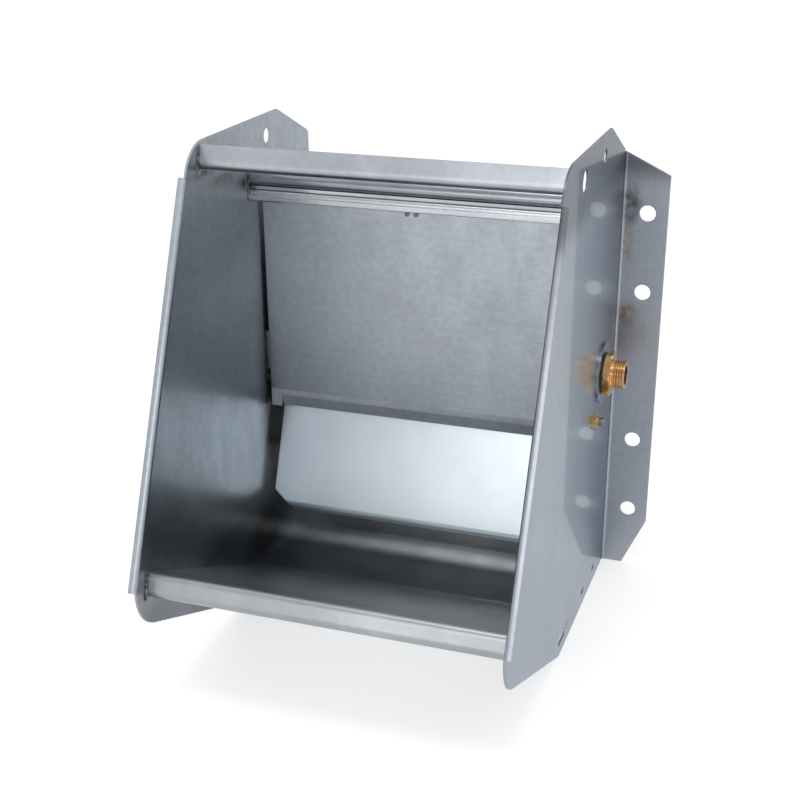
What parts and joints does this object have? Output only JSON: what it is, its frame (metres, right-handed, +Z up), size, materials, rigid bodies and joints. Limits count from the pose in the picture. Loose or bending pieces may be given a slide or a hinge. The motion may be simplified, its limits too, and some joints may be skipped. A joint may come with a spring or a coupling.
{
  "type": "livestock drinking bowl",
  "caption": "Wall-mounted folded stainless steel drinking bowl for livestock, with a hanging valve cover and a hinged push plate that opens a spring-loaded water valve.",
  "frame": {"origin": "under the middle of the whole bowl, at the height of the bottom edge of the side walls", "axes": "+X to the side with the water inlet, +Y to the mounting wall, -Y to the animal, +Z up"},
  "size_m": [0.316, 0.3136, 0.36],
  "materials": {
    "stainless_wall": "smooth cold-rolled sheet, slightly mirroring",
    "stainless_trough": "smooth cold-rolled sheet",
    "stainless_bar": "satin sheet",
    "stainless_cover": "satin sheet",
    "stainless_plate": "bright smooth sheet",
    "stainless_satin": "satin",
    "spring_steel": "drawn, satin",
    "brass": "turned, lightly dulled",
    "black_rubber": "matte",
    "bush_plastic": "matte",
    "strainer_plastic": "matte"
  },
  "bodies": {
    "bowl": {"right_side_wall": "stainless_wall", "left_side_wall": "stainless_wall", "trough": "stainless_trough", "top_front_bar": "stainless_bar", "cross_tube": "stainless_bar", "cover_head_rail": "stainless_cover", "cover_hinge_lugs": "stainless_satin", "cover_hinge_rod": "stainless_satin", "cover_stops": "stainless_satin", "plate_hinge_rod": "brass", "hinge_nuts": "brass", "hinge_bushes": "bush_plastic", "valve_body": "brass", "inlet_backnut": "brass", "inlet_washer": "stainless_satin", "inlet_outer_seal": "black_rubber", "inlet_gasket": "black_rubber", "inlet_strainer": "strainer_plastic", "valve_seat_ring": "brass", "stem_guide": "brass", "valve_spring": "spring_steel", "valve_cap": "brass", "cap_seal": "black_rubber", "outlet_nozzle": "strainer_plastic"},
    "cover": {"valve_cover": "stainless_cover", "cover_friction_leaf": "spring_steel", "cover_rivets": "stainless_satin"},
    "plate": {"push_plate": "stainless_plate", "plate_hinge_sleeve": "stainless_satin", "valve_lever": "stainless_satin", "lever_screw": "stainless_satin", "lever_locknut": "stainless_satin"},
    "stem": {"valve_stem": "brass", "valve_seal": "black_rubber"}
  },
  "joints": [
    {"name": "cover_swing", "type": "hinge", "parent": "bowl", "child": "cover", "pos_m": [0, 0.06485, 0.3062], "axis": [-1, 0, 0], "range_deg": [0, 75]},
    {"name": "plate_push", "type": "hinge", "parent": "bowl", "child": "plate", "pos_m": [0, 0.08339, 0.1505], "axis": [1, 0, 0], "range_deg": [0, 12], "stiffness_Nm_per_rad": 1.5, "springref_deg": -17.19},
    {"name": "stem_lift", "type": "slide", "parent": "bowl", "child": "stem", "axis": [0, 0, 1], "range_m": [0, 0.005], "deforming": ["valve_spring"]}
  ],
  "couplings": [
    {"joint": "stem_lift", "follows": "plate_push", "m_per_rad": 0.0234}
  ]
}
